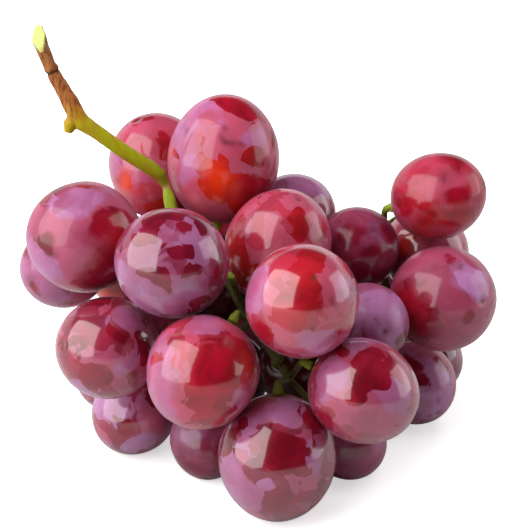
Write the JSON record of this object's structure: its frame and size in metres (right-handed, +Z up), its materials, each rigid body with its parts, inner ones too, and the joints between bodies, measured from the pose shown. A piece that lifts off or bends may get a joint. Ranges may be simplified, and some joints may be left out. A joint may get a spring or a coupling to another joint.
{
  "type": "bunch of grapes",
  "caption": "Bunch of large red table grapes on a cut, branched stem, lying on its lowest berries with the stem rising at one side.",
  "frame": {"origin": "middle of the bunch's footprint box, on the surface it lies on", "axes": "+X along the bunch's longest side, away from the cut stem; -Y towards the side seen in the picture; +Z up"},
  "size_m": [0.1134, 0.103, 0.1014],
  "materials": {
    "red_skin": "glossy grape skin with a pale bloom",
    "wine_skin": "glossy grape skin with a pale bloom",
    "purple_skin": "glossy grape skin with a pale bloom",
    "stem_wood": "green stem with brown bark"
  },
  "bodies": {
    "root": {"berry_01": "red_skin", "berry_02": "red_skin", "berry_03": "wine_skin", "berry_04": "purple_skin", "berry_05": "wine_skin", "berry_06": "wine_skin", "berry_07": "red_skin", "berry_08": "red_skin", "berry_09": "red_skin", "berry_10": "purple_skin", "berry_11": "red_skin", "berry_12": "wine_skin", "berry_13": "purple_skin", "berry_14": "wine_skin", "berry_15": "wine_skin", "berry_16": "wine_skin", "berry_17": "purple_skin", "berry_18": "purple_skin", "berry_19": "wine_skin", "berry_20": "purple_skin", "berry_21": "purple_skin", "berry_22": "red_skin", "berry_23": "wine_skin", "berry_24": "red_skin", "berry_25": "wine_skin", "berry_26": "purple_skin", "berry_27": "wine_skin", "berry_28": "red_skin", "berry_29": "wine_skin", "berry_30": "purple_skin", "berry_31": "purple_skin", "berry_32": "wine_skin", "berry_33": "red_skin", "berry_34": "wine_skin", "berry_35": "wine_skin", "berry_36": "red_skin", "berry_37": "wine_skin", "berry_38": "red_skin", "stem": "stem_wood"}
  },
  "joints": []
}
